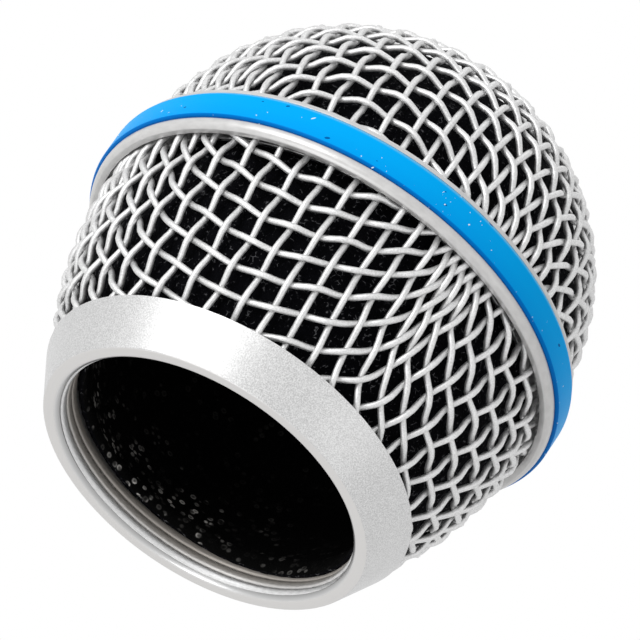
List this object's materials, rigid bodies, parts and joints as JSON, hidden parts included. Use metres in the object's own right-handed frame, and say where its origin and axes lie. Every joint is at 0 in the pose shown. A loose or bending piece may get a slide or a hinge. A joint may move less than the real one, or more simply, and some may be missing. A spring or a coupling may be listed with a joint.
{
  "type": "microphone grille head",
  "caption": "Ball-shaped woven wire grille head with a foam pop filter inside, a coloured band round its middle and a threaded collar that screws onto a handheld microphone.",
  "frame": {"origin": "centre of the collar's flat rim, the face that meets the microphone's neck", "axes": "+Z along the axis from the rim to the top of the dome; X and Y across it"},
  "size_m": [0.051, 0.051, 0.0526],
  "materials": {
    "collar_paint": "silver paint with a fine metallic grain",
    "wire": "satin plated wire",
    "ring_paint": "satin silver",
    "hoop_steel": "plain rolled steel",
    "band_blue": "glossy azure plastic",
    "foam_black": "open-cell foam"
  },
  "bodies": {
    "root": {"threaded_collar": "collar_paint", "basket_warp_wires": "wire", "basket_weft_wires": "wire", "equator_ring": "ring_paint", "inner_hoop": "hoop_steel", "colour_band": "band_blue", "dome_warp_wires": "wire", "dome_weft_wires": "wire", "basket_foam": "foam_black", "dome_foam": "foam_black"}
  },
  "joints": []
}
